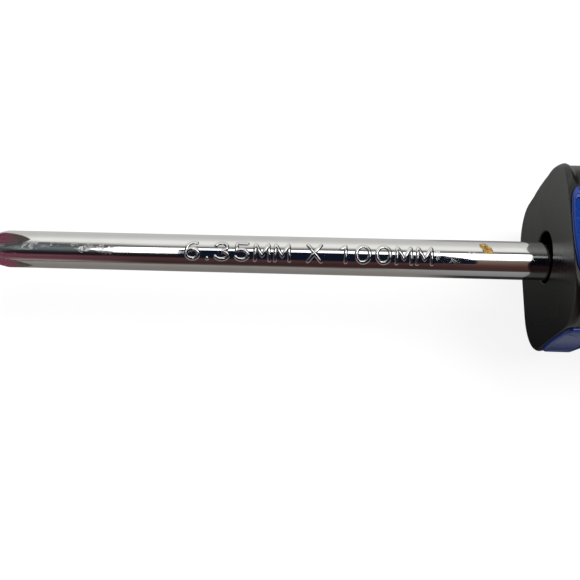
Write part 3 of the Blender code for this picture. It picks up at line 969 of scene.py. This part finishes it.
# The room at places along the tool: x, then degrees towards -Y from straight up, and brightness
BEHIND = ((-96, (0.76, 0.753, 0.735)), (-86, (0.79, 0.783, 0.762)), (-69, (0.90, 0.892, 0.868)),
          (-54, (1.18, 1.17, 1.14)), (-40, (1.24, 1.23, 1.20)), (-32, (1.10, 1.09, 1.06)))
BEHIND_HANDLE = ((-96, 0.36), (-86, 0.30), (-69, 0.20), (-54, 0.20), (-44, 0.25), (-39, 1.5),
                 (-31, 1.3))
RED_SIDE = ((55, (0.117, 0.055, 0.0455)), (67, (0.09, 0.042, 0.035)), (82, (0.07, 0.038, 0.034)),
            (90, (0.10, 0.06, 0.06)))
ROOM = (
    (-0.46, BEHIND + (
        (-26, 0.25), (-15, 0.12), (8, (0.17, 0.20, 0.21)), (22, 0.06), (36, (0.05, 0.02, 0.03)),
        (44, (0.34, 0.07, 0.14)), (66, (0.28, 0.06, 0.12)), (80, (0.25, 0.12, 0.15)),
        (90, (0.50, 0.44, 0.43)))),
    (-0.36, BEHIND + (
        (-26, 0.27), (-15, 0.12), (-3, (0.134, 0.134, 0.15)), (8, (0.21, 0.26, 0.27)),
        (20, (0.11, 0.14, 0.15)), (31, 0.027), (44, (0.026, 0.008, 0.014)),
        (55, (0.21, 0.088, 0.117)), (67, (0.155, 0.053, 0.075)), (80, (0.22, 0.12, 0.14)),
        (90, (0.50, 0.44, 0.43)))),
    (-0.22, BEHIND + (
        (-26, 0.95), (-15, 0.19), (20, 0.2), (28, (0.06, 0.05, 0.05)), (36, 0.018),
        (44, (0.012, 0.006, 0.008)), (55, (0.10, 0.045, 0.05)), (67, (0.085, 0.042, 0.044)),
        (82, (0.055, 0.030, 0.030)), (90, (0.09, 0.06, 0.06)))),
    (0.05, BEHIND + (
        (-26, 0.40), (-20, 0.2), (20, 0.25), (31, 0.05), (43, (0.02, 0.012, 0.014)),
        (55, (0.094, 0.047, 0.049)), (67, (0.070, 0.027, 0.027)), (82, (0.055, 0.028, 0.026)),
        (90, (0.09, 0.05, 0.05)))),
    (0.12, BEHIND + (
        (-26, 0.27), (-20, 0.2), (20, (0.5, 0.45, 0.4)), (29, (0.27, 0.21, 0.18)),
        (43, (0.20, 0.122, 0.10))) + RED_SIDE),
    (0.175, BEHIND + (
        (-26, 0.16), (-18, 0.10), (-6, 0.10), (20, (0.4, 0.35, 0.3)), (29, (0.25, 0.19, 0.16)),
        (43, (0.19, 0.115, 0.095))) + RED_SIDE),
    (0.21, BEHIND_HANDLE + (
        (-28, 0.03), (-8, 0.03), (20, 0.04), (43, (0.05, 0.035, 0.03)),
        (67, (0.03, 0.02, 0.02)), (80, (0.03, 0.02, 0.02)), (90, (0.06, 0.05, 0.05)))),
    (0.38, ((-96, 0.05), (-60, 0.03), (60, 0.02), (90, 0.05))),
)
ROOM_END = 0.9                        # the room is dark further along the tool than this


def make_dome():
    """The soft room around the tool: bands of light along the blade."""
    glow, tree, light = glow_material("room_bands", (1, 1, 1), 1.0)
    here_x, here_y, here_z = axes(tree, tree.nodes.new("ShaderNodeNewGeometry").outputs["Position"])
    side = times(tree, here_y, -1.0)
    height = maths(tree, "SUBTRACT", here_z, AXIS_Z)
    degrees = times(tree, maths(tree, "ARCTAN2", side, height), 180 / math.pi)
    share = maths(tree, "MULTIPLY_ADD", degrees, 1 / (2 * DOME_LIMIT), 0.5)
    colour, before = None, None
    for x, bands in ROOM:
        stops = [((angle + DOME_LIMIT) / (2 * DOME_LIMIT), shade) for angle, shade in bands]
        here = ramp(tree, share, stops)
        if colour is not None:
            here = mix_colour(tree, eased(tree, here_x, before, x), colour, here)
        colour, before = here, x
    near_end = mix_colour(tree, eased(tree, here_x, -ROOM_END / 2, -ROOM_END), colour,
                          (0.10, 0.093, 0.08))
    both_ends = mix_colour(tree, eased(tree, here_x, ROOM_END / 2, ROOM_END), near_end,
                           (0.03, 0.03, 0.03))
    tree.links.new(both_ends, light.inputs["Color"])
    return card("room_dome", (-DOME_HALF, -DOME_LIMIT, DOME_LIMIT),
                (DOME_HALF, -DOME_LIMIT, DOME_LIMIT), DOME_REACH, glow)


FLOOR_HALF = 3.0                      # half its width
FLOOR_SPAN = 150 * MM                 # the reflected shades vary over this far to each side
FLOOR_GLOW = 1.16                     # the brightness that the camera sees, and its share
FLOOR_GLOW_SHARE = 0.75
# What glossy pieces mirror of the floor, a glow with painted shade in it: distance towards +Y, and
# brightness. It is darker towards -Y, and near the handle it holds a painted contact shadow.
OPEN_FLOOR_SHADE = ((-150, (0.17, 0.14, 0.13)), (-115, (0.34, 0.315, 0.30)), (-65, (0.38, 0.355, 0.335)),
              (-40, (0.35, 0.325, 0.31)), (-18, (0.30, 0.28, 0.265)), (-6, (0.27, 0.25, 0.24)),
              (6, (0.64, 0.635, 0.62)), (20, (0.70, 0.695, 0.675)), (45, (0.76, 0.753, 0.735)))
HANDLE_CONTACT_SHADOW = ((-60, 0.38), (-26, 0.33), (-17.0, 0.26), (-16.3, 0.055), (-13, 0.028), (-6, 0.045),
                (2, (0.082, 0.083, 0.078)), (8, (0.175, 0.177, 0.168)), (18, (0.28, 0.283, 0.27)),
                (30, 0.38), (45, 0.52), (75, 0.74))


def make_floor():
    """A plain pale floor. In reflections it glows with painted shade: darker on the side away from the
    light, with a painted contact shadow near the handle.
    """
    shape = bmesh.new()
    bmesh.ops.create_grid(shape, x_segments=1, y_segments=1, size=FLOOR_HALF)
    mesh = bpy.data.meshes.new("floor")
    shape.to_mesh(mesh)
    shape.free()
    floor = add("floor", mesh)
    paper, tree, shader = new_finish("pale_paper", Roughness=0.9, Specular_IOR_Level=0.0)
    shader.inputs["Base Color"].default_value = (0.55, 0.55, 0.548, 1)
    x, y = axes(tree, tree.nodes.new("ShaderNodeNewGeometry").outputs["Position"])[:2]
    share = maths(tree, "MULTIPLY_ADD", y, 1 / (2 * FLOOR_SPAN), 0.5)
    shades = [ramp(tree, share, [((far * MM / FLOOR_SPAN + 1) / 2, shade) for far, shade in stops])
              for stops in (OPEN_FLOOR_SHADE, HANDLE_CONTACT_SHADOW)]
    # painted shade: near the handle the mirrored floor changes to the darker shades, a painted contact
    # shadow
    mirrored_painted_shade = mix_colour(tree, eased(tree, x, FACE_X - 20 * MM, FACE_X - 9 * MM), *shades)
    glow = tree.nodes.new("ShaderNodeEmission")
    tree.links.new(mirrored_painted_shade, glow.inputs["Color"])
    ray = tree.nodes.new("ShaderNodeLightPath").outputs
    either = mixed(tree, ray["Is Glossy Ray"], shader.outputs[0], glow.outputs[0])
    backlit = new_node(tree, "ShaderNodeEmission", Strength=FLOOR_GLOW)
    backlit_share = times(tree, ray["Is Camera Ray"], FLOOR_GLOW_SHARE)
    seen = mixed(tree, backlit_share, either, backlit.outputs[0])
    tree.links.new(seen, tree.nodes["Material Output"].inputs[0])
    paper.cycles.emission_sampling = "NONE"
    mesh.materials.append(paper)


SKY_STRENGTH = 0.35
BACKDROP_STRENGTH = 0.85              # of the sky as the camera sees it
LAMP_PLACE = Vector((0.42, 0.30, 0.75))
LAMP_SIZE = (0.9, 0.6)
LAMP_WATTS = 14.9
CARD_REACH = 0.6                      # of the light strip, and of the flags close over the blade
FLAG_REACH = 0.114
STRIP_STRENGTH = 2.6


def make_lights():
    world = bpy.data.worlds.new("soft_room")
    world.use_nodes = True
    tree = world.node_tree
    sky = tree.nodes["Background"]
    backdrop = tree.nodes.new("ShaderNodeBackground")
    for light, strength in ((sky, SKY_STRENGTH), (backdrop, BACKDROP_STRENGTH)):
        light.inputs["Color"].default_value = (1, 1, 1, 1)
        light.inputs["Strength"].default_value = strength
    ray = tree.nodes.new("ShaderNodeLightPath").outputs
    either = mixed(tree, ray["Is Camera Ray"], sky.outputs[0], backdrop.outputs[0])
    tree.links.new(either, tree.nodes["World Output"].inputs[0])
    world.cycles_visibility.glossy = False
    bpy.context.scene.world = world
    lamp = bpy.data.lights.new("softbox", "AREA")
    lamp.shape = "RECTANGLE"
    lamp.size, lamp.size_y = LAMP_SIZE
    lamp.energy = LAMP_WATTS
    softbox = add("softbox", lamp)
    softbox.location = LAMP_PLACE
    softbox.rotation_euler = LAMP_PLACE.to_track_quat("Z", "Y").to_euler()
    softbox.visible_glossy = False
    softbox.visible_camera = False
    make_dome()
    strip = glow_material("light_strip", (1, 1, 1), STRIP_STRENGTH)[0]
    card("light_strip", (-0.262, -7, 26), (0.36, -22, 18.5), CARD_REACH, strip)
    card("light_strip_end", (-0.292, 9, 12), (-0.262, -2, 21), CARD_REACH, strip)
    flag = glow_material("dark_flag", (0.008, 0.012, 0.026), 1.0)[0]
    card("dark_flag", (-0.0886, 1.5, 47), (-0.003, 1.5, 47), FLAG_REACH, flag)
    card("dark_flag_corner", (-0.003, 1.5, 47), (0.008, 26, 47), FLAG_REACH, flag)


def make_camera():
    """A camera over the shaft: near the vertical, a little turned along it."""
    back = Vector((math.sin(VIEW_YAW), -math.cos(VIEW_YAW) * math.cos(VIEW_ELEVATION),
                   math.cos(VIEW_YAW) * math.sin(VIEW_ELEVATION)))
    level = (Vector((1, 0, 0)) - back * back.x).normalized()
    raised = back.cross(level)
    right = level * math.cos(VIEW_ROLL) + raised * math.sin(VIEW_ROLL)
    upward = back.cross(right)
    camera = bpy.data.cameras.new("camera")
    camera.lens = FOCAL_LENGTH
    camera.sensor_width = 36
    camera.clip_start = 0.005
    camera.clip_end = 20
    item = add("camera", camera)
    place = Vector((FACE_X + AIM_X, 0, AXIS_Z)) + back * VIEW_DISTANCE - upward * VIEW_BELOW
    turn = Matrix((right, upward, back)).transposed()
    item.matrix_world = Matrix.Translation(place) @ turn.to_4x4()
    bpy.context.scene.camera = item


def main():
    bpy.context.scene.view_settings.view_transform = "Standard"
    make_camera()
    make_floor()
    make_lights()
    groups = (scratch_group(), smudge_group(), peel_group(), dust_group())
    chrome = make_chrome(*groups[:3], pit_group())
    black = make_plastic("black_gloss", (0.0016, 0.0016, 0.0015), (0.003, 0.003, 0.0028), 0.27,
                         groups, 0.06)
    blue = make_plastic("blue_gloss", (0.0022, 0.023, 0.155), (0.0026, 0.026, 0.165), 0.10,
                        groups, 0.06)
    nylon = make_plastic("black_nylon", (0.010, 0.010, 0.010), (0.014, 0.014, 0.014), 0.45,
                         groups, 0.2)
    make_blade(chrome)
    make_size_mark(chrome)
    make_handle_body(black)
    make_inlays(blue)
    make_end_cap(blue)
    make_end_disc(black)
    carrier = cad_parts["tang_carrier"]
    carrier.data.materials.clear()
    carrier.data.materials.append(nylon)


main()
